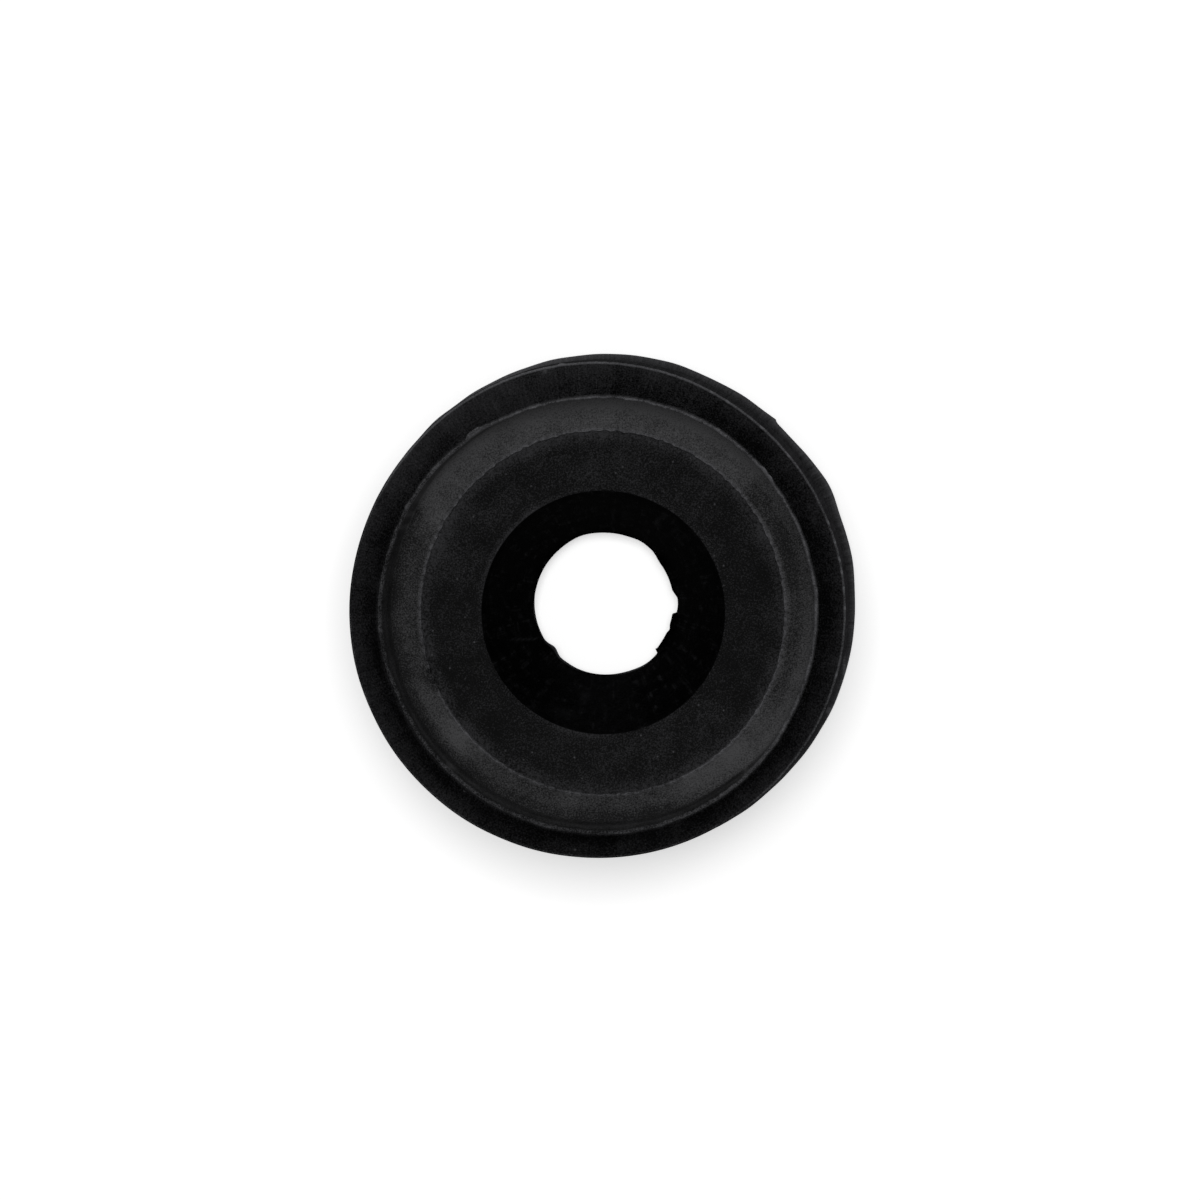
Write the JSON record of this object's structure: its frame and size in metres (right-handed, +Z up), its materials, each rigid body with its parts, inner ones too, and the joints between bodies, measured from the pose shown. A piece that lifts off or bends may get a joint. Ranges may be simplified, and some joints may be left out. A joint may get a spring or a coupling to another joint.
{
  "type": "rubber grommet",
  "caption": "Round black rubber grommet with two flanges, a panel groove, a thin raised sealing lip, a recessed front and a funnel down to its cable hole.",
  "frame": {"origin": "centre of the lower flange's flat face, on the table", "axes": "+Z up along the cable hole's axis, out of the recessed front; X and Y are free, because the moulding is round"},
  "size_m": [0.0254, 0.0254, 0.0079],
  "materials": {
    "rubber": "matte moulded black rubber, with a fine-grained recess floor and smoother ring, shoulder and funnel"
  },
  "bodies": {
    "root": {"grommet": "rubber"}
  },
  "joints": []
}
